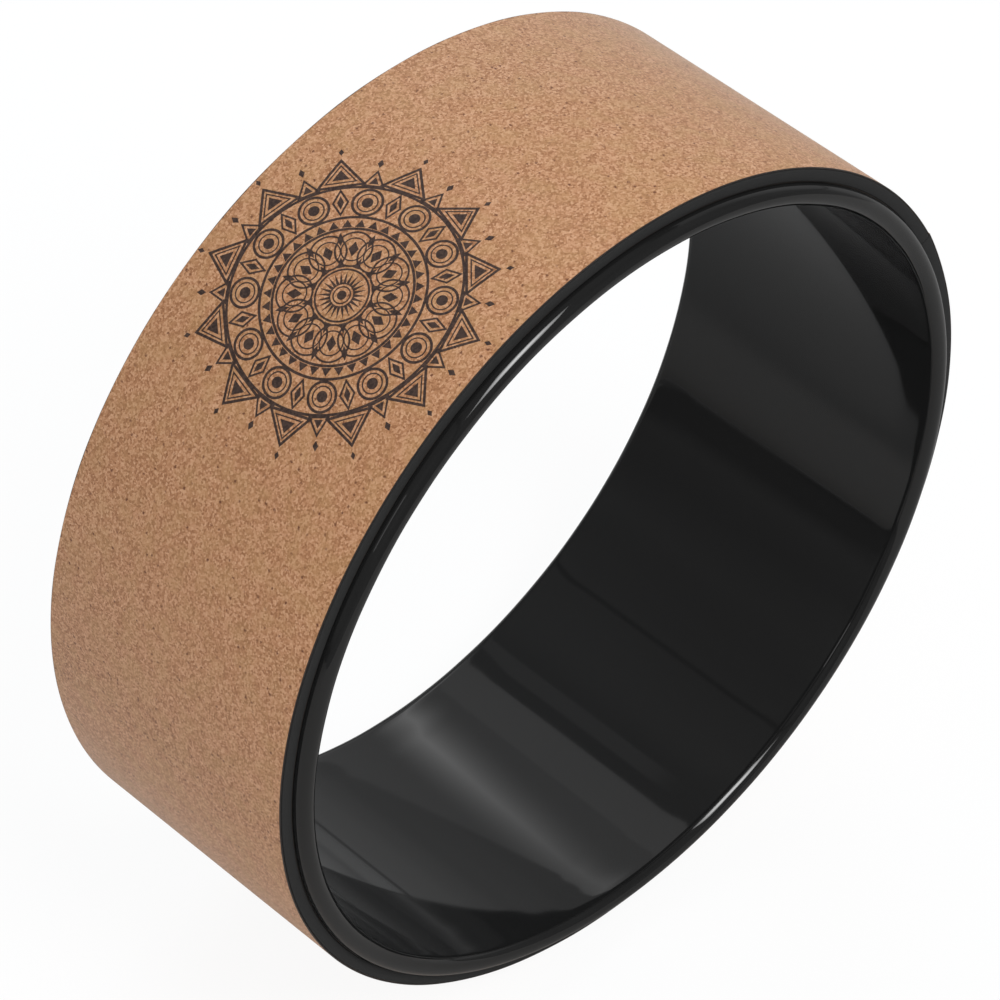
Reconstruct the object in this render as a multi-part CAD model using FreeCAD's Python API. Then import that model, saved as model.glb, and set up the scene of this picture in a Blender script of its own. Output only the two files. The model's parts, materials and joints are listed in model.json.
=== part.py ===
import FreeCAD, Part
import math
import os

# Yoga wheel: a moulded hoop with full-round lips, wrapped in one strip of foam faced
# with cork. The strip goes round once and its two ends meet in a butt seam.
# The wheel stands upright on its tread. Its axis runs along Y, +Z is up and the origin
# is the centre of the wheel. Lengths are in millimetres and angles in degrees.

# The wheel as it is bought
wheel_diameter = 330.0  # over the cork
tread_width = 118.0  # cork and foam, along the axis

# The layers, from the tread inwards
cork_thickness = 0.5
cork_bond_thickness = 0.2
foam_thickness = 4.5
hoop_bond_thickness = 0.2
hoop_wall = 8.0

# The lips of the hoop
lip_stand = 4.5  # each crest beyond the side of the foam
parting_line_rise = 1.5  # up the inner flank of a lip, from where its round begins
parting_line_width = 0.3  # of the half-round groove that the mould leaves

# The butt seam of the wrapped strip
seam_angle = 27.0  # from +X towards +Z
seam_gap = 0.4

# How far a cutting tool runs past what it cuts
overrun = 1.0

# The radii where the layers meet, each from the one outside it
wheel_radius = wheel_diameter / 2
cork_inner_radius = wheel_radius - cork_thickness
foam_outer_radius = cork_inner_radius - cork_bond_thickness
foam_inner_radius = foam_outer_radius - foam_thickness
hoop_outer_radius = foam_inner_radius - hoop_bond_thickness
hoop_inner_radius = hoop_outer_radius - hoop_wall

# The hoop's section: a straight wall that ends in a half circle at each side
hoop_width = tread_width + 2 * lip_stand
lip_radius = hoop_wall / 2
lip_centre_radius = hoop_inner_radius + lip_radius
lip_centre_offset = hoop_width / 2 - lip_radius

centre = FreeCAD.Vector(0, 0, 0)
wheel_axis = FreeCAD.Vector(0, 1, 0)
full_turn = 360


def section_point(radius, offset):
    """A point of a section in the XY plane, which is turned about the wheel's axis."""
    return FreeCAD.Vector(radius, offset, 0)


def lip_point(side, turn, reach):
    """A point of a lip's section: turn runs from the bore, over the crest, to the foam's seat."""
    radius = lip_centre_radius - reach * math.cos(turn)
    offset = lip_centre_offset + reach * math.sin(turn)
    return section_point(radius, side * offset)


def lip_arc(side, start, end):
    """A stretch of a lip's half circle, between two turns."""
    middle = (start + end) / 2
    ends = [lip_point(side, turn, lip_radius) for turn in (start, middle, end)]
    return Part.Arc(*ends).toShape()


def lip_edges(side):
    """One lip's half circle, broken by the half-round groove of the parting line."""
    groove_radius = parting_line_width / 2
    groove_turn = math.asin(parting_line_rise / lip_radius)
    groove_spread = 2 * math.asin(groove_radius / (2 * lip_radius))
    near, far = groove_turn - groove_spread, groove_turn + groove_spread
    groove = Part.Arc(
        lip_point(side, near, lip_radius),
        lip_point(side, groove_turn, lip_radius - groove_radius),
        lip_point(side, far, lip_radius),
    )
    return [lip_arc(side, 0, near), groove.toShape(), lip_arc(side, far, math.pi)]


def wall_line(radius):
    """One straight face of the hoop's wall, between the rounds of the two lips."""
    start = section_point(radius, -lip_centre_offset)
    end = section_point(radius, lip_centre_offset)
    return Part.LineSegment(start, end).toShape()


def make_hoop():
    """The load-bearing hoop: one moulding, turned from its section."""
    edges = [wall_line(hoop_inner_radius), wall_line(hoop_outer_radius)] + lip_edges(1) + lip_edges(-1)
    outline = Part.Wire(Part.__sortEdges__(edges))
    return Part.Face(outline).revolve(centre, wheel_axis, full_turn)


def seam_cut():
    """The slit that leaves the two ends of a wrapped strip a seam's gap apart."""
    depth = wheel_radius - hoop_outer_radius + 2 * overrun
    width = tread_width + 2 * overrun
    corner = FreeCAD.Vector(hoop_outer_radius - overrun, -width / 2, -seam_gap / 2)
    slit = Part.makeBox(depth, width, seam_gap, corner)
    slit.rotate(centre, wheel_axis, -seam_angle)
    return slit


def make_wrap(inner_radius, thickness):
    """One layer of the wrapped strip: a band as wide as the tread, cut open at the seam."""
    side = FreeCAD.Vector(0, -tread_width / 2, 0)
    outside = Part.makeCylinder(inner_radius + thickness, tread_width, side, wheel_axis)
    long_side = FreeCAD.Vector(0, -tread_width / 2 - overrun, 0)
    inside = Part.makeCylinder(inner_radius, tread_width + 2 * overrun, long_side, wheel_axis)
    return outside.cut(inside).cut(seam_cut())


pieces = {
    "hoop": make_hoop(),
    "hoop_bond_film": make_wrap(hoop_outer_radius, hoop_bond_thickness),
    "foam_band": make_wrap(foam_inner_radius, foam_thickness),
    "cork_bond_film": make_wrap(foam_outer_radius, cork_bond_thickness),
    "cork_skin": make_wrap(cork_inner_radius, cork_thickness),
}

os.makedirs("parts", exist_ok=True)
for name, shape in pieces.items():
    solid = shape.Solids[0]
    box = solid.optimalBoundingBox()
    size = " x ".join(str(round(side, 2)) for side in (box.XLength, box.YLength, box.ZLength))
    print(name, "is", len(shape.Solids), "solid of", round(solid.Volume), "mm3 in", size, "mm")
    solid.exportStep("parts/" + name + ".step")
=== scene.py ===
# %% [markdown]
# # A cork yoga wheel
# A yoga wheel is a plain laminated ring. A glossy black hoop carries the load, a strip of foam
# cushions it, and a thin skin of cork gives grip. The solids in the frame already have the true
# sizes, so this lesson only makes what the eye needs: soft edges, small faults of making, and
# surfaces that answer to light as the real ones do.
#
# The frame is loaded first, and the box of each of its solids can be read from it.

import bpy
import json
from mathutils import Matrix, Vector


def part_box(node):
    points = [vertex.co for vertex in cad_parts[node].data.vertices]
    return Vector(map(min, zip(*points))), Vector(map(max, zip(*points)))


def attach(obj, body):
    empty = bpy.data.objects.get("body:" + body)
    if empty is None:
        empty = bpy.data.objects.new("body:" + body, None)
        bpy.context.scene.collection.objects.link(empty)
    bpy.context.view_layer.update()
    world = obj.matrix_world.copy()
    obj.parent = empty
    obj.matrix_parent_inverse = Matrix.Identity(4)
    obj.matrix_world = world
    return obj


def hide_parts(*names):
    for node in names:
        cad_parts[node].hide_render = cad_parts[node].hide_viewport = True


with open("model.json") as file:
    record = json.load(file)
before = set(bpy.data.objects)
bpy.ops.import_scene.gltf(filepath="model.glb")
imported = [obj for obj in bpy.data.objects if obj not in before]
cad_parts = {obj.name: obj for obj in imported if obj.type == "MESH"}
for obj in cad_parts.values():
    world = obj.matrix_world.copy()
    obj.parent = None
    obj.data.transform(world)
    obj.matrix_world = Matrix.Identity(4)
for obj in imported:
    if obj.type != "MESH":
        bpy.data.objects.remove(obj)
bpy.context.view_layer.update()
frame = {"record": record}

# %% [markdown]
# ## Sizes
# Every size that a solid fixes is read from the frame instead of being typed again. Each layer is
# round about the Y axis, so the farthest corner of its box gives its outer radius, and the layer
# below ends where the next one starts. The bore's radius comes from the mount that the record
# states.

# %% Read the sizes
import json
import math

import bmesh
import bpy
from mathutils import Matrix, Vector, noise

mm = 0.001


def outer_radius(node):
    """How far a round solid reaches from the wheel's axis."""
    return max(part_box(node)[1])


tread_radius = outer_radius("cork_skin")
cork_film_radius = outer_radius("cork_bond_film")
foam_radius = outer_radius("foam_band")
hoop_film_radius = outer_radius("hoop_bond_film")
hoop_radius = outer_radius("hoop")
tread_half_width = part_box("cork_skin")[1].y
hoop_half_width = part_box("hoop")[1].y
bore = next(mount for mount in frame["record"]["mounts"] if mount["name"] == "centre_bore")
bore_radius = bore["dims"]["r_mm"] * mm
print("Tread radius", round(tread_radius / mm, 2), "mm")
print("Bore radius", round(bore_radius / mm, 2), "mm")

# %% [markdown]
# ## Two small helpers for materials
# Colours are easier to choose as sRGB hex, the way a paint program shows them, but shaders work
# in linear light, so one function converts them. A second one adds a node, sets its properties
# and feeds its sockets, which keeps each material short enough to read as a recipe.

# %% Colour and node helpers
def linear(hex_colour):
    """Turns an sRGB hex colour into the linear RGBA that a shader socket takes."""
    shares = [int(hex_colour[i:i + 2], 16) / 255 for i in (1, 3, 5)]
    curve = [s / 12.92 if s <= 0.04045 else ((s + 0.055) / 1.055) ** 2.4 for s in shares]
    return (*curve, 1.0)


def add_node(tree, kind, settings={}, inputs={}):
    """Adds a node: settings are its properties, inputs are values or the sockets that feed it."""
    node = tree.nodes.new(kind)
    for name, value in settings.items():
        setattr(node, name, value)
    for name, value in inputs.items():
        if isinstance(value, bpy.types.NodeSocket):
            tree.links.new(value, node.inputs[name])
        else:
            node.inputs[name].default_value = value
    return node


def new_material(name):
    """Returns a new material and its emptied node tree, ready for a recipe."""
    material = bpy.data.materials.new(name)
    material.use_nodes = True
    material.node_tree.nodes.clear()
    return material, material.node_tree


print("Cork colour in linear light:", linear("#b7835c"))

# %% [markdown]
# ## Cork: grain
# The skin is agglomerated cork: granules of about a millimetre are pressed with a binder into a
# block, and the block is sliced into thin sheet and sanded. The eye gets a warm tan, a fine
# pepper-and-salt grain, a few dark granules of bark and a dull surface with no clear highlight. A
# Voronoi texture is the natural choice, because its cells are granules: each cell has one random
# colour, and the distance to its middle gives the pits between granules.

# %% Grain that the cork and the ink on it share
granule = 0.75 * mm
pit_depth = 0.12 * mm


def cork_grain(tree):
    """Adds the granules and returns the place read, each one's shade and the bump of the pits."""
    place = add_node(tree, "ShaderNodeTexCoord").outputs["Object"]
    cells = add_node(tree, "ShaderNodeTexVoronoi", {}, {"Vector": place, "Scale": 1 / granule})
    shade = add_node(tree, "ShaderNodeSeparateColor", {}, {"Color": cells.outputs["Color"]})
    bump = add_node(
        tree,
        "ShaderNodeBump",
        {"invert": True},
        {"Strength": 0.35, "Distance": pit_depth, "Height": cells.outputs["Distance"]},
    )
    return place, shade.outputs["Red"], bump.outputs["Normal"]


print("A granule is", round(granule / mm, 2), "mm")

# %% [markdown]
# ## Cork: tan
# The granules' tan runs from dark to pale, so a colour ramp turns each one's shade into a tan,
# and a finer noise breaks it up. A block is pressed from mixed batches, so a slow noise lets a
# yellower tan through in patches.

# %% Tan of the granules
fleck = 0.45 * mm
batch_patch = 8 * mm
batch_share = 0.3


def tan_granules(tree, place, shade):
    """Turns the granules' shade into tan, with fine flecks and yellower patches."""
    flecks = add_node(
        tree, "ShaderNodeTexNoise", {}, {"Vector": place, "Scale": 1 / fleck, "Detail": 2.0}
    )
    mixed = add_node(
        tree,
        "ShaderNodeMix",
        {"data_type": "FLOAT"},
        {"Factor": 0.5, 2: shade, 3: flecks.outputs["Fac"]},
    )
    tan = add_node(tree, "ShaderNodeValToRGB", {}, {"Fac": mixed.outputs["Result"]})
    tones = tan.color_ramp.elements
    tones[0].position, tones[0].color = 0.12, linear("#85532c")
    tones[1].position, tones[1].color = 0.88, linear("#d9aa86")
    tones.new(0.5).color = linear("#b7835c")
    batch = add_node(
        tree, "ShaderNodeTexNoise", {}, {"Vector": place, "Scale": 1 / batch_patch, "Detail": 1.0}
    )
    share = add_node(
        tree,
        "ShaderNodeMapRange",
        {},
        {"Value": batch.outputs["Fac"], "From Min": 0.4, "From Max": 0.7, "To Max": batch_share},
    )
    blend = add_node(
        tree,
        "ShaderNodeMix",
        {"data_type": "RGBA"},
        {"Factor": share.outputs["Result"], 6: tan.outputs["Color"], 7: linear("#b48e5c")},
    )
    return blend.outputs[2]


print("A fleck is", round(fleck / mm, 2), "mm, a patch", round(batch_patch / mm), "mm")

# %% [markdown]
# ## Cork: bark and edges
# Here and there a granule is bark. A wider Voronoi texture places those: a speck sits at the
# middle of a cell, and the cell's random colour says how dark it is, which in most cells is not
# at all. Noise pulls at the cells, so the specks are ragged. The colour is also darkened to a
# dark brown along the cork's two edges.

# %% Bark and darkened edges
bark_spacing = 2.6 * mm
bark_core, bark_rim = 0.12, 0.26  # shares of the spacing
bark_faint, bark_full = 0.62, 0.85  # random colours, from 0 to 1
bark_warp = 1.2 * mm
cork_recess = 0.5 * mm
cork_half_width = tread_half_width - cork_recess
edge_dark_band = 0.35 * mm


def add_bark(tree, place, colour):
    """Puts ragged specks of bark on a colour, some dark and some faint."""
    ragged = add_node(
        tree, "ShaderNodeTexNoise", {}, {"Vector": place, "Scale": 1 / fleck, "Detail": 1.0}
    )
    warped = add_node(
        tree,
        "ShaderNodeVectorMath",
        {"operation": "MULTIPLY_ADD"},
        {0: ragged.outputs["Color"], 1: (bark_warp, bark_warp, bark_warp), 2: place},
    )
    bark = add_node(
        tree,
        "ShaderNodeTexVoronoi",
        {},
        {"Vector": warped.outputs["Vector"], "Scale": 1 / bark_spacing},
    )
    near = add_node(
        tree,
        "ShaderNodeMapRange",
        {},
        {
            "Value": bark.outputs["Distance"],
            "From Min": bark_core,
            "From Max": bark_rim,
            "To Min": 1,
            "To Max": 0,
        },
    )
    pick = add_node(tree, "ShaderNodeSeparateColor", {}, {"Color": bark.outputs["Color"]})
    dark = add_node(
        tree,
        "ShaderNodeMapRange",
        {},
        {"Value": pick.outputs["Red"], "From Min": bark_faint, "From Max": bark_full},
    )
    speck = add_node(
        tree,
        "ShaderNodeMath",
        {"operation": "MULTIPLY"},
        {0: near.outputs["Result"], 1: dark.outputs["Result"]},
    )
    specked = add_node(
        tree,
        "ShaderNodeMix",
        {"data_type": "RGBA"},
        {"Factor": speck.outputs[0], 6: colour, 7: linear("#6e4026")},
    )
    return specked.outputs[2]


def darken_edges(tree, place, colour):
    """Darkens a colour along the strip's two edges."""
    side = add_node(tree, "ShaderNodeSeparateXYZ", {}, {"Vector": place})
    across = add_node(tree, "ShaderNodeMath", {"operation": "ABSOLUTE"}, {0: side.outputs["Y"]})
    # Dark brown is mixed in over a thin band at each of the cork's two edges.
    darkening = add_node(
        tree,
        "ShaderNodeMapRange",
        {},
        {
            "Value": across.outputs[0],
            "From Min": cork_half_width - edge_dark_band,
            "From Max": cork_half_width - edge_dark_band / 2,
        },
    )
    darkened = add_node(
        tree,
        "ShaderNodeMix",
        {"data_type": "RGBA"},
        {"Factor": darkening.outputs["Result"], 6: colour, 7: linear("#2a211c")},
    )
    return darkened.outputs[2]


print("The cork is", round(2 * cork_half_width / mm, 1), "mm wide")

# %% [markdown]
# ## Cork: the surface
# Sanding leaves cork dull, so it is rough. Loose fibres stand up from a sanded face and catch
# light that grazes it, which is what sheen stands for.

# %% Cork material
def make_cork():
    """Sanded agglomerated cork: tan granules, dark bark specks, darkened edges, dull all over."""
    material, tree = new_material("sanded_cork")
    place, shade, normal = cork_grain(tree)
    tan = tan_granules(tree, place, shade)
    colour = darken_edges(tree, place, add_bark(tree, place, tan))
    shader = add_node(
        tree,
        "ShaderNodeBsdfPrincipled",
        {},
        {
            "Base Color": colour,
            "Roughness": 0.62,
            "IOR": 1.45,
            "Sheen Weight": 0.22,
            "Sheen Roughness": 0.4,
            "Normal": normal,
        },
    )
    add_node(tree, "ShaderNodeOutputMaterial", {}, {"Surface": shader.outputs["BSDF"]})
    return material


cork = make_cork()
print("Cork has", len(cork.node_tree.nodes), "nodes")

# %% [markdown]
# ## Printing ink
# The figure on the tread is screen printed: a thin, dull, dark brown ink that soaks into the
# cork, so the granules still show through as faint mottling. It shares the cork's bump and takes
# a trace of the granules' shade.

# %% Ink material
def make_ink():
    """Brown screen ink on cork: dark and dull, mottled by the granules under it."""
    material, tree = new_material("screen_ink")
    _, shade, normal = cork_grain(tree)
    colour = add_node(
        tree,
        "ShaderNodeMix",
        {"data_type": "RGBA"},
        {"Factor": shade, 6: linear("#33241f"), 7: linear("#4d3a32")},
    )
    shader = add_node(
        tree,
        "ShaderNodeBsdfPrincipled",
        {},
        {"Base Color": colour.outputs[2], "Roughness": 0.7, "IOR": 1.45, "Normal": normal},
    )
    add_node(tree, "ShaderNodeOutputMaterial", {}, {"Surface": shader.outputs["BSDF"]})
    return material


ink = make_ink()
print("Ink has", len(ink.node_tree.nodes), "nodes")

# %% [markdown]
# ## Foam
# The cushion is closed-cell foam, dyed black and cut from sheet with a knife. A cut face shows
# the opened cells as a fine matte texture that scatters light, so it looks dark grey, not black.

# %% Foam material
foam_cell = 0.35 * mm
cell_depth = 0.08 * mm


def make_foam():
    """Knife-cut closed-cell foam: dark grey, very rough, pitted by opened cells."""
    material, tree = new_material("closed_cell_foam")
    place = add_node(tree, "ShaderNodeTexCoord").outputs["Object"]
    cells = add_node(tree, "ShaderNodeTexVoronoi", {}, {"Vector": place, "Scale": 1 / foam_cell})
    bump = add_node(
        tree,
        "ShaderNodeBump",
        {},
        {"Strength": 0.4, "Distance": cell_depth, "Height": cells.outputs["Distance"]},
    )
    shade = add_node(tree, "ShaderNodeValToRGB", {}, {"Fac": cells.outputs["Distance"]})
    shade.color_ramp.elements[0].color = linear("#202020")
    shade.color_ramp.elements[1].color = linear("#2c2c2c")
    shader = add_node(
        tree,
        "ShaderNodeBsdfPrincipled",
        {},
        {
            "Base Color": shade.outputs["Color"],
            "Roughness": 0.9,
            "IOR": 1.45,
            "Normal": bump.outputs["Normal"],
        },
    )
    add_node(tree, "ShaderNodeOutputMaterial", {}, {"Surface": shader.outputs["BSDF"]})
    return material


foam = make_foam()
print("Foam has", len(foam.node_tree.nodes), "nodes; a cell is", foam_cell / mm, "mm")

# %% [markdown]
# ## Glossy moulded plastic
# The hoop is black ABS moulded against polished steel. Its colour is almost nothing: what shows
# is the room mirrored in it. Polish is never even, so a large, weak noise varies the roughness,
# and the mirror images go from crisp to slightly smeared across the wall.

# %% Hoop material
polish_patch = 40 * mm
best_polish, worst_polish = 0.04, 0.07


def make_hoop_plastic():
    """Polished black ABS: a clear mirror on a black body, a little smeared in patches."""
    material, tree = new_material("moulded_abs")
    place = add_node(tree, "ShaderNodeTexCoord").outputs["Object"]
    patches = add_node(
        tree, "ShaderNodeTexNoise", {}, {"Vector": place, "Scale": 1 / polish_patch, "Detail": 3.0}
    )
    polish = add_node(
        tree,
        "ShaderNodeMapRange",
        {},
        {
            "Value": patches.outputs["Fac"],
            "From Min": 0.3,
            "From Max": 0.7,
            "To Min": best_polish,
            "To Max": worst_polish,
        },
    )
    shader = add_node(
        tree,
        "ShaderNodeBsdfPrincipled",
        {},
        {"Base Color": linear("#1a1a1a"), "Roughness": polish.outputs["Result"], "IOR": 1.54},
    )
    add_node(tree, "ShaderNodeOutputMaterial", {}, {"Surface": shader.outputs["BSDF"]})
    return material


hoop_plastic = make_hoop_plastic()
print("Hoop plastic has", len(hoop_plastic.node_tree.nodes), "nodes")

# %% [markdown]
# ## Adhesive
# Two films of contact adhesive hold the layers together. Only their edges could ever be seen,
# deep in the joints, where dried glue is a dark, slightly uneven amber.

# %% Adhesive material
glue_ripple = 2.0 * mm


def make_adhesive():
    """Dried contact adhesive: dark amber with a soft ripple."""
    material, tree = new_material("contact_adhesive")
    place = add_node(tree, "ShaderNodeTexCoord").outputs["Object"]
    ripple = add_node(tree, "ShaderNodeTexNoise", {}, {"Vector": place, "Scale": 1 / glue_ripple})
    shade = add_node(tree, "ShaderNodeValToRGB", {}, {"Fac": ripple.outputs["Fac"]})
    shade.color_ramp.elements[0].color = linear("#1d1713")
    shade.color_ramp.elements[1].color = linear("#33281f")
    shader = add_node(
        tree,
        "ShaderNodeBsdfPrincipled",
        {},
        {"Base Color": shade.outputs["Color"], "Roughness": 0.5, "IOR": 1.5},
    )
    add_node(tree, "ShaderNodeOutputMaterial", {}, {"Surface": shader.outputs["BSDF"]})
    return material


adhesive = make_adhesive()
print("Adhesive has", len(adhesive.node_tree.nodes), "nodes")

# %% [markdown]
# ## From bmesh to piece
# Every piece ends the same way: its normals are made to point outwards, faces are shaded smooth
# but for edges sharper than a limit, and the object rides on the wheel's one body in place of its
# solid.

# %% The last step of every piece
sharp_from = math.radians(40)


def finish_piece(bm, name, material, slot, *nodes):
    """Turns a finished bmesh into an object that stands for its solids and takes their finish."""
    bmesh.ops.recalc_face_normals(bm, faces=bm.faces)
    mesh = bpy.data.meshes.new(name)
    bm.to_mesh(mesh)
    bm.free()
    mesh.shade_smooth()
    mesh.set_sharp_from_angle(angle=sharp_from)
    mesh.materials.append(material)
    piece = bpy.data.objects.new(name, mesh)
    bpy.context.scene.collection.objects.link(piece)
    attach(piece, "root")
    if nodes:
        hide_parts(*nodes)
    print(name, "has", len(mesh.polygons), "faces")
    return piece


# %% [markdown]
# ## The hoop's section
# The hoop is a solid of revolution, so it starts as half of its section in the XY plane: from the
# middle of the bore wall, round the lip, to the middle of the outer wall. The lip is an arc,
# which spin makes by swinging one vertex about the lip's centre. The mould's two halves meet just
# inside the lip and leave a hairline there, so the arc is broken by a small notch.

# %% Half of the section
wall = hoop_radius - bore_radius
lip_radius = wall / 2
lip_centre = Vector((bore_radius + lip_radius, hoop_half_width - lip_radius, 0))
parting_line_rise = 1.5 * mm
parting_line_width = 0.3 * mm
lip_steps = 40
wall_steps = 32


def swing(bm, vert, angle):
    """Swings the last vertex of the section about the lip's centre and returns where it ends."""
    steps = max(1, round(lip_steps * angle / math.pi))
    made = bmesh.ops.spin(
        bm, geom=[vert], cent=lip_centre, axis=(0, 0, -1), angle=angle, steps=steps
    )
    return next(part for part in made["geom_last"] if isinstance(part, bmesh.types.BMVert))


def reach(bm, vert, place):
    """Runs a straight edge from the last vertex of the section to a place."""
    made = bmesh.ops.extrude_vert_indiv(bm, verts=[vert])
    made["verts"][0].co = place
    return made["verts"][0]


def lip_place(angle, depth=0.0):
    """A place on the lip's round, some way from the bore wall, sunk by a depth."""
    arm = Vector((-math.cos(angle), math.sin(angle), 0))
    return lip_centre + arm * (lip_radius - depth)


hoop = bmesh.new()
notch_angle = math.asin(parting_line_rise / lip_radius)
notch_half = parting_line_width / 2 / lip_radius
last = hoop.verts.new((bore_radius, 0, 0))
last = reach(hoop, last, (bore_radius, lip_centre.y, 0))
bore_edges = hoop.edges[:]
last = swing(hoop, last, notch_angle - notch_half)
last = reach(hoop, last, lip_place(notch_angle, parting_line_width / 2))
last = reach(hoop, last, lip_place(notch_angle + notch_half))
last = swing(hoop, last, math.pi - notch_angle - notch_half)
last = reach(hoop, last, (hoop_radius, 0, 0))
bmesh.ops.subdivide_edges(hoop, edges=bore_edges, cuts=wall_steps)
print("Half of the hoop's section has", len(hoop.verts), "points")

# %% [markdown]
# ## Turning the hoop
# Mirror adds the other half, and a full spin about the wheel's axis, with its last step merged
# into the first, makes the hoop. Enough steps are taken for the mirror images in the wall to be
# smooth.

# %% Spin the section
hoop_steps = 360
axis = Vector((0, -1, 0))
weld = 0.01 * mm

bmesh.ops.mirror(hoop, geom=hoop.verts[:] + hoop.edges[:], axis="Y", merge_dist=weld)
bmesh.ops.spin(
    hoop,
    geom=hoop.verts[:] + hoop.edges[:],
    cent=(0, 0, 0),
    axis=axis,
    angle=2 * math.pi,
    steps=hoop_steps,
    use_merge=True,
)
print("The spun hoop has", len(hoop.faces), "faces")

# %% [markdown]
# ## Small faults of moulding
# A moulded wall is never a true cylinder. It shrinks unevenly as it cools, by less than a tenth
# of a millimetre, and a mirror finish shows that as wavering reflections. Noise moves the bore
# wall in and out by that much. The thicker lips cool last and pull at the wall next to them, so a
# shorter ripple grows towards each lip.

# %% Waver of the wall
waver = 0.03 * mm
waver_length = 40 * mm
ripple = 0.2 * mm
ripple_length = 18 * mm
ripple_reach = 16 * mm


def outwards(place):
    """The direction from the wheel's axis to a place."""
    return Vector((place.x, 0, place.z)).normalized()


for vert in hoop.verts:
    direction = outwards(vert.co)
    depth_share = (hoop_radius - vert.co.dot(direction)) / wall
    closeness = min(1, max(0, 1 - (lip_centre.y - abs(vert.co.y)) / ripple_reach))
    shift = waver * noise.noise(vert.co / waver_length)
    shift += closeness * ripple * noise.noise(vert.co / ripple_length)
    vert.co += direction * shift * depth_share

finish_piece(hoop, "moulded_hoop", hoop_plastic, "hoop_plastic", "hoop")

# %% [markdown]
# ## The wrapped strip
# Foam, cork and the two films are one laminated strip that goes once round the hoop, so they
# share a function. It starts from a grid of one face as the section, rounds its corners with
# bevel, turns it to one side of the butt seam and spins it right round to the other. The spin
# keeps the first and last sections as faces, so the strip's ends are closed.

# %% Wrap a layer
seam_angle = math.radians(27)
seam_gap = 0.4 * mm
wrap_steps = 360
corner_steps = 4


def wrap(inner, outer, half_width, rounding, gap=seam_gap):
    """One layer of the strip, from its inner to its outer radius, open at the butt seam."""
    bm = bmesh.new()
    bmesh.ops.create_grid(bm, x_segments=1, y_segments=1, size=0.5)
    bmesh.ops.scale(bm, vec=(outer - inner, 2 * half_width, 1), verts=bm.verts)
    bmesh.ops.translate(bm, vec=((inner + outer) / 2, 0, 0), verts=bm.verts)
    bmesh.ops.bevel(
        bm,
        geom=bm.verts[:],
        offset=rounding,
        segments=corner_steps,
        profile=0.5,
        affect="VERTICES",
        material=-1,
    )
    half_gap = gap / 2 / outer
    turn = Matrix.Rotation(seam_angle + half_gap, 3, axis)
    bmesh.ops.rotate(bm, cent=(0, 0, 0), matrix=turn, verts=bm.verts)
    bmesh.ops.spin(
        bm,
        geom=bm.verts[:] + bm.edges[:] + bm.faces[:],
        cent=(0, 0, 0),
        axis=axis,
        angle=2 * math.pi - 2 * half_gap,
        steps=wrap_steps,
    )
    return bm


print("The seam is at", round(math.degrees(seam_angle)), "degrees")

# %% [markdown]
# ## How a strip really lies
# A knife cut wanders by a few tenths of a millimetre, the cut across the strip is never quite
# square, and the last end to be pressed down stands a little proud of the first at the seam. All
# are small, but they keep the rim from looking drawn with a compass, and no light shines through
# a skew seam. The inner side stays seated, so a point is lifted by its share of the layer's
# height.

# %% Let the strip wander
wander = 0.25 * mm
wander_length = 30 * mm
proud_end = 0.3 * mm
proud_angle = math.radians(7)
skew = 1.0 * mm
skew_angle = math.radians(20)


def settle(bm, inner, outer):
    """Lets a layer's edges wander, skews the seam and lifts the end that was pressed down last."""
    for vert in bm.verts:
        direction = outwards(vert.co)
        radius = vert.co.dot(direction)
        edge_share = vert.co.y / tread_half_width
        drift = wander * noise.noise(direction * tread_radius / wander_length)
        behind = (seam_angle - math.atan2(vert.co.z, vert.co.x)) % (2 * math.pi)
        lift = proud_end * max(0, 1 - behind / proud_angle) ** 2
        height_share = min(1, max(0, (radius - inner) / (outer - inner)))
        beside = min(behind, 2 * math.pi - behind)
        slip = skew * edge_share * max(0, 1 - beside / skew_angle)
        vert.co += direction * lift * height_share + axis.cross(direction) * slip
        vert.co.y += drift * edge_share


print("The strip's edges wander by", wander / mm, "mm")

# %% [markdown]
# ## The films, the foam and the cork
# The films end a little inside the foam's sides, as glue that was trimmed with the strip does, so
# each joint shows as a fine dark line. The film on the hoop runs on under the seam, where its own
# ends all but touch. The foam's cut edges are slightly soft. The cork is only half a millimetre
# thick, so its edges are almost sharp, and it ends just short of the foam's sides.

# %% Make the layers
film_recess = 0.3 * mm
film_rounding = 0.04 * mm
film_gap = 0.02 * mm
foam_rounding = 0.5 * mm
cork_rounding = 0.16 * mm

film_half_width = tread_half_width - film_recess
hoop_film = wrap(hoop_radius, hoop_film_radius, film_half_width, film_rounding, film_gap)
finish_piece(hoop_film, "hoop_glue_film", adhesive, "adhesive", "hoop_bond_film")

cushion = wrap(hoop_film_radius, foam_radius, tread_half_width, foam_rounding)
settle(cushion, hoop_film_radius, foam_radius)
foam_piece = finish_piece(cushion, "foam_cushion", foam, "foam", "foam_band")

cork_film = wrap(foam_radius, cork_film_radius, cork_half_width - film_recess, film_rounding)
settle(cork_film, hoop_film_radius, foam_radius)
finish_piece(cork_film, "cork_glue_film", adhesive, "adhesive", "cork_bond_film")

skin = wrap(cork_film_radius, tread_radius, cork_half_width, cork_rounding)
settle(skin, hoop_film_radius, foam_radius)
finish_piece(skin, "cork_tread", cork, "cork", "cork_skin")

# %% [markdown]
# ## The printed figure: shapes
# A rosette is printed on the tread. It is drawn flat first, as rings of simple shapes about its
# centre. A circle with few corners is a triangle or a lozenge and one with many is round, so one
# operator gives every shape. Inset and a deleted middle turn a shape into a printed line, and
# spin with duplicates repeats it round the centre.

# %% Stamp a ring of shapes
ink_line = 0.7 * mm
round_corners = 40
ring_corners = 160
outline = {"use_boundary": True, "use_even_offset": True}
figure = bmesh.new()


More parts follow.
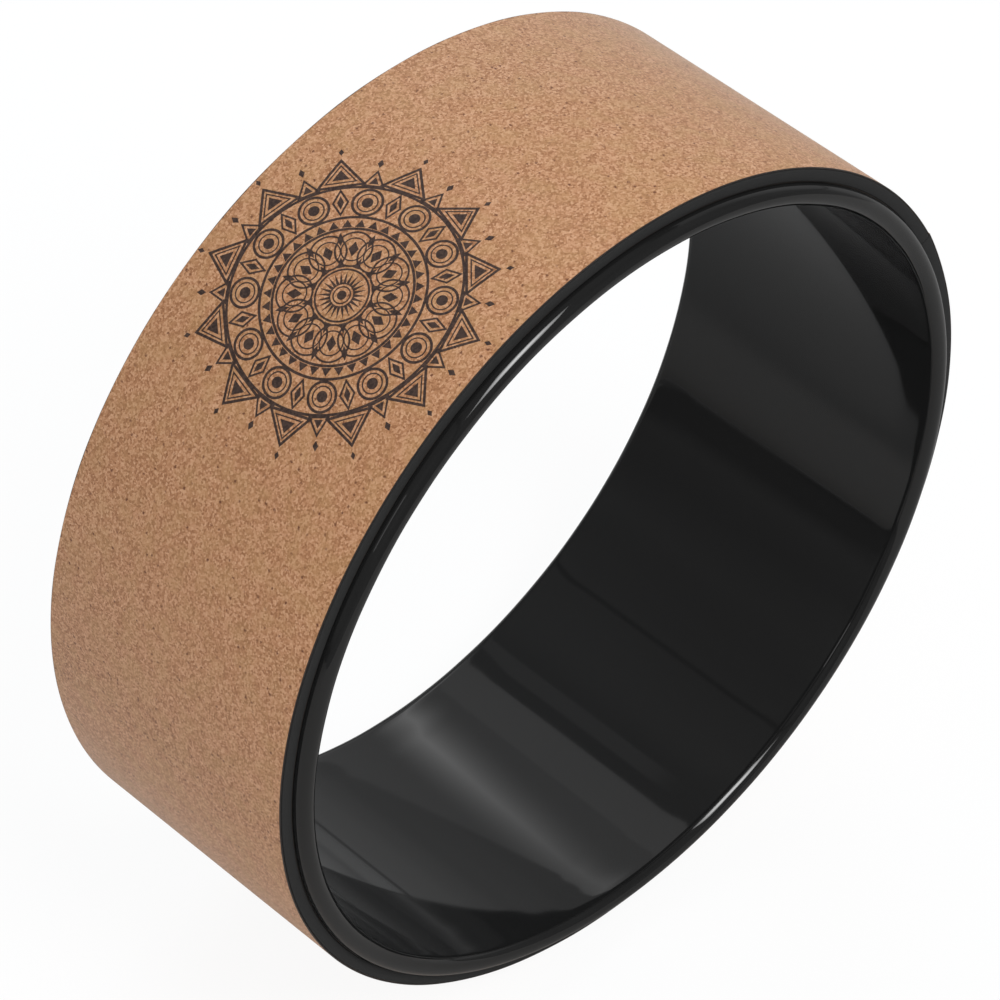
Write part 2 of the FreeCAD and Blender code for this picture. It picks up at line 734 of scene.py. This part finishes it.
def stamp(corners, count, width, start, end, line=0.0, turn=0.0):
    """Prints a ring of shapes that reach from start to end; a line of zero leaves them filled."""
    made = bmesh.ops.create_circle(figure, cap_ends=True, segments=corners, radius=0.5)
    verts = made["verts"]
    shape = verts[0].link_faces[0]
    wide = max(v.co.x for v in verts) - min(v.co.x for v in verts)
    tall = max(v.co.y for v in verts) - min(v.co.y for v in verts)
    bmesh.ops.translate(figure, vec=(0, -min(v.co.y for v in verts), 0), verts=verts)
    bmesh.ops.scale(figure, vec=(width / wide, (end - start) / tall, 1), verts=verts)
    bmesh.ops.translate(figure, vec=(0, start, 0), verts=verts)
    bmesh.ops.rotate(figure, cent=(0, 0, 0), matrix=Matrix.Rotation(turn, 3, "Z"), verts=verts)
    faces = [shape]
    if line:
        faces = bmesh.ops.inset_region(figure, faces=[shape], thickness=line, **outline)["faces"]
        bmesh.ops.delete(figure, geom=[shape], context="FACES_ONLY")
    if count > 1:
        sides = dict.fromkeys(edge for face in faces for edge in face.edges)
        points = dict.fromkeys(vert for face in faces for vert in face.verts)
        whole = 2 * math.pi * (count - 1) / count
        bmesh.ops.spin(
            figure,
            geom=[*faces, *sides, *points],
            cent=(0, 0, 0),
            axis=(0, 0, 1),
            angle=whole,
            steps=count - 1,
            use_duplicate=True,
        )


def ring(radius, line=ink_line):
    """Prints one plain circle about the centre."""
    stamp(ring_corners, 1, 2 * radius, -radius, radius, line)


print("A printed line is", round(ink_line / mm, 2), "mm wide")

# %% [markdown]
# ## The printed figure: layout
# The rings are built from the middle outwards: a sun, a chain of circles, a band of small
# lozenges, moons between long lozenges, and a crown of nested triangles. All of it is twelvefold.

# %% Lay out the rosette
fold = 12
half_step = math.pi / fold
bold_line = 0.95 * mm
fine_line = 0.5 * mm

stamp(round_corners, 1, 3.4 * mm, -1.7 * mm, 1.7 * mm)
ring(3.3 * mm, fine_line)
stamp(3, 2 * fold, 1.2 * mm, 4.0 * mm, 8.8 * mm)
ring(9.9 * mm)
stamp(3, fold, 2.8 * mm, 10.4 * mm, 14.4 * mm, turn=half_step)
stamp(round_corners, fold, 13.8 * mm, 10.4 * mm, 24.2 * mm, ink_line)
stamp(round_corners, fold, 9.2 * mm, 12.6 * mm, 21.8 * mm, fine_line)
stamp(4, fold, 3.6 * mm, 14.4 * mm, 20.2 * mm)
stamp(4, fold, 2.2 * mm, 18.6 * mm, 24.0 * mm, turn=half_step)
ring(25.6 * mm, bold_line)
ring(30.2 * mm, bold_line)
stamp(3, 3 * fold, 3.6 * mm, 25.8 * mm, 28.8 * mm)
stamp(round_corners, fold, 11.4 * mm, 30.0 * mm, 41.4 * mm, bold_line)
stamp(round_corners, fold, 7.6 * mm, 31.8 * mm, 39.4 * mm, fine_line)
stamp(round_corners, fold, 4.0 * mm, 33.6 * mm, 37.6 * mm)
stamp(4, fold, 6.0 * mm, 30.4 * mm, 41.6 * mm, ink_line, half_step)
stamp(4, fold, 2.4 * mm, 33.2 * mm, 38.8 * mm, turn=half_step)
ring(42.4 * mm, bold_line)
stamp(3, fold, 18.0 * mm, 42.2 * mm, 54.4 * mm, bold_line, half_step)
stamp(3, fold, 11.6 * mm, 44.0 * mm, 51.8 * mm, fine_line, half_step)
stamp(3, fold, 6.0 * mm, 45.4 * mm, 49.6 * mm, turn=half_step)
stamp(3, fold, 8.4 * mm, 42.2 * mm, 49.4 * mm, ink_line)
stamp(3, fold, 3.4 * mm, 43.4 * mm, 46.4 * mm)
stamp(4, fold, 2.2 * mm, 50.4 * mm, 54.0 * mm)
stamp(4, fold, 1.8 * mm, 55.8 * mm, 58.6 * mm, turn=half_step)
print("The flat figure has", len(figure.faces), "faces")

# %% [markdown]
# ## The printed figure: onto the tread
# Long edges are divided so that they can bend, the flat figure is extruded to a thin film, and
# each point is rolled onto the cork: its X becomes a way round the tread and its Z a height above
# it.

# %% Roll the figure onto the cork
figure_angle = math.radians(118)
figure_offset = 1.4 * mm
ink_sink = 0.03 * mm
ink_stand = 0.03 * mm
longest_edge = 2.5 * mm


def spoke(angle):
    """The direction from the axis at an angle that runs from +X towards +Z."""
    return Vector((math.cos(angle), 0, math.sin(angle)))


while True:
    long_edges = [e for e in figure.edges if e.calc_length() > longest_edge]
    if not long_edges:
        break
    bmesh.ops.subdivide_edges(figure, edges=long_edges, cuts=1)
film = bmesh.ops.extrude_face_region(figure, geom=figure.faces[:])
film_verts = [part for part in film["geom"] if isinstance(part, bmesh.types.BMVert)]
bmesh.ops.translate(figure, vec=(0, 0, ink_sink + ink_stand), verts=film_verts)
for vert in figure.verts:
    radius = tread_radius - ink_sink + vert.co.z
    along = spoke(figure_angle - vert.co.x / tread_radius) * radius
    vert.co = along + Vector((0, vert.co.y + figure_offset, 0))

finish_piece(figure, "printed_rosette", ink, "print_ink")

# %% [markdown]
# ## Floor
# The wheel stands on white paper. For the camera most of the paper's light is given outright, so
# it stays white at a plain light level, and the rest is real paper that takes the wheel's soft
# shadow. The hoop mirrors the real paper, toned down to the grey that such black plastic shows of
# it, and a trace warm to balance the cool fill that falls on it. The paper ends about a metre
# before and beside the wheel, so the lips mirror the room beyond it too.

# %% Floor
floor_side = 7.0
floor_right = 1.1
floor_front = 0.95
white_share = 0.92


def make_paper():
    """White paper: matte, with most of its light given outright where it is looked at."""
    material, tree = new_material("white_paper")
    path = add_node(tree, "ShaderNodeLightPath")
    seen = add_node(
        tree,
        "ShaderNodeMath",
        {"operation": "MAXIMUM"},
        {0: path.outputs["Is Camera Ray"], 1: path.outputs["Is Transmission Ray"]},
    )
    share = add_node(
        tree, "ShaderNodeMath", {"operation": "MULTIPLY"}, {0: seen.outputs[0], 1: white_share}
    )
    tone = add_node(
        tree,
        "ShaderNodeMix",
        {"data_type": "RGBA"},
        {"Factor": path.outputs["Is Glossy Ray"], 6: linear("#f8f8f8"), 7: linear("#a09e9c")},
    )
    paper = add_node(tree, "ShaderNodeBsdfDiffuse", {}, {"Color": tone.outputs[2]})
    glow = add_node(tree, "ShaderNodeEmission", {}, {"Strength": 1.0})
    shader = add_node(
        tree,
        "ShaderNodeMixShader",
        {},
        {"Fac": share.outputs[0], 1: paper.outputs["BSDF"], 2: glow.outputs["Emission"]},
    )
    add_node(tree, "ShaderNodeOutputMaterial", {}, {"Surface": shader.outputs["Shader"]})
    return material


paper = bmesh.new()
bmesh.ops.create_grid(paper, x_segments=1, y_segments=1, size=floor_side / 2)
floor_centre = Vector((floor_right - floor_side / 2, floor_side / 2 - floor_front, -tread_radius))
bmesh.ops.translate(paper, vec=floor_centre, verts=paper.verts)
floor_mesh = bpy.data.meshes.new("floor")
paper.to_mesh(floor_mesh)
paper.free()
floor_mesh.materials.append(make_paper())
floor = bpy.data.objects.new("floor", floor_mesh)
bpy.context.scene.collection.objects.link(floor)
print("The floor lies at", round(-tread_radius / mm, 1), "mm")

# %% [markdown]
# ## World: wall, gap and ceiling
# Black plastic shows the room that it mirrors, so the room is drawn in the world: a grey wall
# with a dim ceiling above it, and a dark gap where they meet. The side that the wheel's front
# faces is as dim as the ceiling. That gives the hoop its dark reflections. The height of a
# direction over a slightly tilted horizon picks its level from a ramp.

# %% Wall, gap and ceiling
wall_light = 0.34
gap_light = 0.06
ceiling_light = 0.15
horizon_tilt = (-0.477, -0.042, 1.0)
horizon_height = 0.445
gap_height = 0.13
wall_end, gap_start, gap_end = 0.28, 0.34, 0.72
front_from, front_to = -0.1, -0.25

world = bpy.data.worlds.new("studio")
world.use_nodes = True
sky = world.node_tree
sky.nodes.clear()
direction = add_node(sky, "ShaderNodeTexCoord").outputs["Generated"]
height = add_node(
    sky, "ShaderNodeVectorMath", {"operation": "DOT_PRODUCT"}, {0: direction, 1: horizon_tilt}
)
above = add_node(
    sky,
    "ShaderNodeMapRange",
    {},
    {
        "Value": height.outputs["Value"],
        "From Min": horizon_height - gap_height,
        "From Max": horizon_height + gap_height,
    },
)
zones = add_node(sky, "ShaderNodeValToRGB", {}, {"Fac": above.outputs["Result"]})
levels = zones.color_ramp.elements
levels[0].position, levels[0].color = wall_end, (wall_light, wall_light, wall_light, 1)
levels[1].position, levels[1].color = 1.0, (ceiling_light, ceiling_light, ceiling_light, 1)
for position in (gap_start, gap_end):
    levels.new(position).color = (gap_light, gap_light, gap_light, 1)
sides = add_node(sky, "ShaderNodeSeparateXYZ", {}, {"Vector": direction})
front = add_node(
    sky,
    "ShaderNodeMapRange",
    {},
    {"Value": sides.outputs["Y"], "From Min": front_from, "From Max": front_to},
)
room = add_node(
    sky,
    "ShaderNodeMix",
    {"data_type": "FLOAT"},
    {"Factor": front.outputs["Result"], 2: zones.outputs["Color"], 3: ceiling_light},
)
print("The mirrored wall has a light of", wall_light, "and the ceiling of", ceiling_light)

# %% [markdown]
# ## World: clutter and dark lines
# No room is even, so a wide noise makes the mirrored one patchy. Two thin dark lines cross it:
# the far edge of the floor, and a seam in the ceiling along the wheel's axis. Each lies in a
# plane through the wheel, so it is where a direction's product with that plane's normal is close
# to zero.

# %% Clutter and dark lines
clutter_scale = 2.5
clutter_low, clutter_high = 0.75, 1.3
floor_edge = (0, 0, 1)
ceiling_seam = (-0.883, 0, -0.469)
seam_half = 0.014
seam_light = 0.4

clutter = add_node(
    sky, "ShaderNodeTexNoise", {}, {"Vector": direction, "Scale": clutter_scale, "Detail": 2.0}
)
patchy = add_node(
    sky,
    "ShaderNodeMapRange",
    {},
    {
        "Value": clutter.outputs["Fac"],
        "From Min": 0.3,
        "From Max": 0.7,
        "To Min": clutter_low,
        "To Max": clutter_high,
    },
)
mirrored = add_node(
    sky,
    "ShaderNodeMath",
    {"operation": "MULTIPLY"},
    {0: room.outputs["Result"], 1: patchy.outputs["Result"]},
)
for across in (floor_edge, ceiling_seam):
    offset = add_node(
        sky, "ShaderNodeVectorMath", {"operation": "DOT_PRODUCT"}, {0: direction, 1: across}
    )
    away = add_node(sky, "ShaderNodeMath", {"operation": "ABSOLUTE"}, {0: offset.outputs["Value"]})
    line = add_node(
        sky,
        "ShaderNodeMapRange",
        {},
        {
            "Value": away.outputs[0],
            "From Min": seam_half / 2,
            "From Max": seam_half,
            "To Min": seam_light,
        },
    )
    mirrored = add_node(
        sky,
        "ShaderNodeMath",
        {"operation": "MULTIPLY"},
        {0: mirrored.outputs[0], 1: line.outputs["Result"]},
    )
print("The mirrored room has", len(sky.nodes), "nodes so far")

# %% [markdown]
# ## World: what each ray sees
# Light that falls on matte surfaces comes from a soft, even room. Mirror rays see the room that
# was just drawn. The camera sees white, and would see it through clear things too.

# %% What each ray sees
room_light = 0.58

path = add_node(sky, "ShaderNodeLightPath")
lit = add_node(
    sky,
    "ShaderNodeMix",
    {"data_type": "FLOAT"},
    {"Factor": path.outputs["Is Glossy Ray"], 2: room_light, 3: mirrored.outputs[0]},
)
seen = add_node(
    sky,
    "ShaderNodeMath",
    {"operation": "MAXIMUM"},
    {0: path.outputs["Is Camera Ray"], 1: path.outputs["Is Transmission Ray"]},
)
strength = add_node(
    sky,
    "ShaderNodeMix",
    {"data_type": "FLOAT"},
    {"Factor": seen.outputs[0], 2: lit.outputs["Result"], 3: 1.0},
)
background = add_node(
    sky,
    "ShaderNodeBackground",
    {},
    {"Color": (1, 1, 1, 1), "Strength": strength.outputs["Result"]},
)
add_node(sky, "ShaderNodeOutputWorld", {}, {"Surface": background.outputs["Background"]})
bpy.context.scene.world = world
print("The room's light is", room_light)

# %% [markdown]
# ## Lamps
# A softbox before and above the wheel is the key light, and its image is the bright patch on each
# lip. Like a real one it is brightest in the middle of its face, so the patch fades at both ends.
# A small lamp on the left draws a fine line inside the lower lip, and two dim ones behind the
# wheel make the grey bands beside the bright streak. A fill from the right, cool like a window,
# lifts the cork there, but is kept out of the mirror images, as a bounced light would be.

# %% Lamps
along_axis = Vector((0, 1, 0))
upwards = Vector((0, 0, 1))
face_middle = (0.5, 0.5, 0)
fade_reach = 0.65
fade_to = 0.2


def facing(direction, distance, long_side):
    """The place of a flat thing that faces the wheel from a direction, one side along another."""
    face = Vector(direction).normalized()
    side = long_side.cross(face).normalized()
    place = Matrix((side, face.cross(side), face)).transposed().to_4x4()
    place.translation = face * distance
    return place


def fade(lamp):
    """Dims a lamp's face from its middle towards its edges."""
    lamp.use_nodes = True
    tree = lamp.node_tree
    tree.nodes.clear()
    face = add_node(tree, "ShaderNodeNewGeometry").outputs["Parametric"]
    away = add_node(
        tree, "ShaderNodeVectorMath", {"operation": "DISTANCE"}, {0: face, 1: face_middle}
    )
    share = add_node(
        tree,
        "ShaderNodeMapRange",
        {"interpolation_type": "SMOOTHSTEP"},
        {"Value": away.outputs["Value"], "From Max": fade_reach, "To Min": 1.0, "To Max": fade_to},
    )
    glow = add_node(tree, "ShaderNodeEmission", {}, {"Strength": share.outputs["Result"]})
    add_node(tree, "ShaderNodeOutputLight", {}, {"Surface": glow.outputs["Emission"]})


def softbox(name, direction, distance, width, length, radiance, long_side=along_axis, gloss=True):
    """An area lamp that faces the wheel from a direction, with the brightness of its face given."""
    lamp = bpy.data.lights.new(name, "AREA")
    lamp.shape = "RECTANGLE"
    lamp.size, lamp.size_y = width, length
    lamp.energy = radiance * math.pi * width * length
    holder = bpy.data.objects.new(name, lamp)
    holder.matrix_world = facing(direction, distance, long_side)
    holder.visible_camera = False
    holder.visible_glossy = gloss
    bpy.context.scene.collection.objects.link(holder)
    print(name, "gives", round(lamp.energy, 1), "W")
    return lamp


key = softbox(
    "key_softbox",
    direction=(-0.064, -0.608, 0.792),
    distance=4.0,
    width=1.65,
    length=2.2,
    radiance=13.4,
    long_side=upwards,
)
fade(key)
fill = softbox(
    "fill_panel",
    direction=(0.55, 0.48, 0.68),
    distance=1.4,
    width=0.67,
    length=0.67,
    radiance=3.7,
    gloss=False,
)
fill.color = linear("#d8eeff")[:3]
softbox(
    "left_lamp",
    direction=(-0.82, -0.08, 0.57),
    distance=2.0,
    width=0.5,
    length=0.3,
    radiance=0.9,
)
softbox(
    "side_panel",
    direction=(0.261, 0.518, 0.814),
    distance=1.8,
    width=0.364,
    length=1.2,
    radiance=0.4,
)
softbox(
    "side_strip",
    direction=(0.048, 0.612, 0.789),
    distance=1.95,
    width=0.15,
    length=0.6,
    radiance=0.12,
)

# %% [markdown]
# ## Diffuser
# The long streak down the bore is the image of a strip lamp behind a sheet of diffuser. The sheet
# is a plain grid with one corner cut off by a slanting plane. Its glow is strongest in front of
# the strip, falls off to both sides, and grows towards the strip's near end.

# %% Diffuser
sheet_light = 0.45
strip_light = 1.0
strip_reach = 0.34
strip_lean = 0.7
strip_half_length = 0.07
strip_low, strip_high = 0.55, 1.4
strip_falloff = 2.0
sheet_direction = (0.5665, 0.518, 0.6404)
sheet_distance = 1.7
sheet_right, sheet_left, sheet_half = -0.468, 1.2, 0.8
slant = Vector((0.454, -1, 0))
slant_place = Vector((0.202, -0.057, 0))


def make_diffuser():
    """A translucent sheet with a strip lamp behind it."""
    material, tree = new_material("diffuser_sheet")
    place = add_node(tree, "ShaderNodeTexCoord").outputs["Object"]
    part = add_node(tree, "ShaderNodeSeparateXYZ", {}, {"Vector": place})
    offset = add_node(
        tree,
        "ShaderNodeMath",
        {"operation": "MULTIPLY_ADD"},
        {0: part.outputs["Y"], 1: strip_lean, 2: part.outputs["X"]},
    )
    away = add_node(tree, "ShaderNodeMath", {"operation": "ABSOLUTE"}, {0: offset.outputs[0]})
    near = add_node(
        tree,
        "ShaderNodeMapRange",
        {},
        {"Value": away.outputs[0], "From Max": strip_reach, "To Min": 1.0, "To Max": 0.0},
    )
    falloff = add_node(
        tree,
        "ShaderNodeMath",
        {"operation": "POWER"},
        {0: near.outputs["Result"], 1: strip_falloff},
    )
    growth = add_node(
        tree,
        "ShaderNodeMapRange",
        {},
        {
            "Value": part.outputs["Y"],
            "From Min": -strip_half_length,
            "From Max": strip_half_length,
            "To Min": strip_low,
            "To Max": strip_high,
        },
    )
    strip = add_node(
        tree,
        "ShaderNodeMath",
        {"operation": "MULTIPLY"},
        {0: falloff.outputs[0], 1: growth.outputs["Result"]},
    )
    light = add_node(
        tree,
        "ShaderNodeMath",
        {"operation": "MULTIPLY_ADD"},
        {0: strip.outputs[0], 1: strip_light, 2: sheet_light},
    )
    glow = add_node(tree, "ShaderNodeEmission", {}, {"Strength": light.outputs[0]})
    add_node(tree, "ShaderNodeOutputMaterial", {}, {"Surface": glow.outputs["Emission"]})
    return material


sheet = bmesh.new()
bmesh.ops.create_grid(sheet, x_segments=1, y_segments=1, size=0.5)
bmesh.ops.scale(sheet, vec=(sheet_left - sheet_right, 2 * sheet_half, 1), verts=sheet.verts)
bmesh.ops.translate(sheet, vec=((sheet_left + sheet_right) / 2, 0, 0), verts=sheet.verts)
bmesh.ops.bisect_plane(
    sheet,
    geom=sheet.verts[:] + sheet.edges[:] + sheet.faces[:],
    plane_co=slant_place,
    plane_no=slant,
    clear_outer=True,
)
sheet_mesh = bpy.data.meshes.new("diffuser")
sheet.to_mesh(sheet_mesh)
sheet.free()
sheet_mesh.materials.append(make_diffuser())
diffuser = bpy.data.objects.new("diffuser", sheet_mesh)
diffuser.matrix_world = facing(sheet_direction, sheet_distance, along_axis)
diffuser.visible_camera = False
bpy.context.scene.collection.objects.link(diffuser)
print("The diffuser has", len(sheet_mesh.vertices), "corners")

# %% [markdown]
# ## Camera
# The camera is a long lens, well back, that looks down from the upper left. Its place was fitted
# to the wheel's two rims. The picture is square, and the wheel's centre sits a little off its
# middle. Light that grazes the bore runs round it in many small bounces, so more of them are
# followed.

# %% Camera
picture_width = 1000
view_azimuth = math.radians(-44.0)
view_elevation = math.radians(43.94)
view_distance = 1824.8 * mm
view_shift = (4.84 * mm, -1.16 * mm)
focal_pixels = 5145.3
sensor_width = 36
farthest_seen = 50
mirror_bounces = 12

back = Vector(
    (
        math.sin(view_azimuth) * math.cos(view_elevation),
        -math.cos(view_azimuth) * math.cos(view_elevation),
        math.sin(view_elevation),
    )
)
right = Vector((math.cos(view_azimuth), math.sin(view_azimuth), 0))
up = back.cross(right)
lens = bpy.data.cameras.new("camera")
lens.sensor_width = sensor_width
lens.lens = focal_pixels * sensor_width / picture_width
lens.clip_end = farthest_seen
camera = bpy.data.objects.new("camera", lens)
camera.matrix_world = Matrix((right, up, back)).transposed().to_4x4()
camera.location = back * view_distance - right * view_shift[0] - up * view_shift[1]
bpy.context.scene.collection.objects.link(camera)
bpy.context.scene.camera = camera
bpy.context.scene.view_settings.view_transform = "Standard"
bpy.context.scene.cycles.glossy_bounces = mirror_bounces
print("The lens is", round(lens.lens, 1), "mm")
